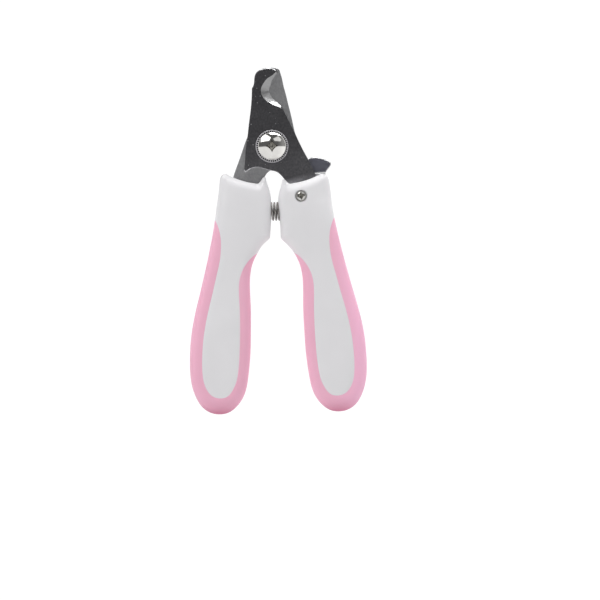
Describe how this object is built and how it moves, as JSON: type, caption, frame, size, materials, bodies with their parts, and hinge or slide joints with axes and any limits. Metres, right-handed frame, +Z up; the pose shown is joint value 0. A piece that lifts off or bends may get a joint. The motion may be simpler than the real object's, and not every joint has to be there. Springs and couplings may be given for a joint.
{
  "type": "pet nail trimmer",
  "caption": "Plier-type pet nail trimmer with side-cutting notched blades, coil return spring, closing-lock lever and soft-banded plastic handles.",
  "frame": {"origin": "centre of the bounding box on the plane the tool lies on", "axes": "tool lying flat: +Y towards the blade tips, +Z up out of the front face with the domed pivot screw, +X to the right seen from the front with the blades up"},
  "size_m": [0.064, 0.1252, 0.011],
  "materials": {
    "blade_front": "satin, dark",
    "blade_rear": "satin",
    "pivot_chrome": "polished",
    "washer_steel": "bright zinc",
    "nut_steel": "bright zinc",
    "spring_steel": "drawn wire",
    "lever_steel": "satin, blued",
    "screw_chrome": "plated",
    "bushing_steel": "turned",
    "insert_brass": "turned",
    "shell_plastic": "fine satin moulded ABS",
    "grip_rubber": "matte soft-touch"
  },
  "bodies": {
    "right_half": {"front_blade": "blade_front", "pivot_screw": "pivot_chrome", "pivot_tooth_washer": "washer_steel", "pivot_wave_washer": "spring_steel", "pivot_nut": "nut_steel", "return_spring": "spring_steel", "lock_screw": "screw_chrome", "lock_bushing": "bushing_steel", "lock_disc_spring": "spring_steel", "lock_insert": "insert_brass", "right_front_shell": "shell_plastic", "right_rear_shell": "shell_plastic", "right_grip": "grip_rubber", "right_shell_screws": "screw_chrome"},
    "left_half": {"rear_blade": "blade_rear", "left_front_shell": "shell_plastic", "left_rear_shell": "shell_plastic", "left_grip": "grip_rubber", "left_shell_screws": "screw_chrome"},
    "lock": {"lock_lever": "lever_steel"}
  },
  "joints": [
    {"name": "handle_squeeze", "type": "hinge", "parent": "right_half", "child": "left_half", "pos_m": [-0.0003, 0.03395, 0.0055], "axis": [0, 0, -1], "range_deg": [-6, 18], "stiffness_Nm_per_rad": 0.25, "springref_deg": 21.77, "deforming": ["return_spring"]},
    {"name": "lock_turn", "type": "hinge", "parent": "right_half", "child": "lock", "pos_m": [0.00975, 0.01565, 0.0055], "axis": [0, 0, 1], "range_deg": [0, 14]}
  ]
}
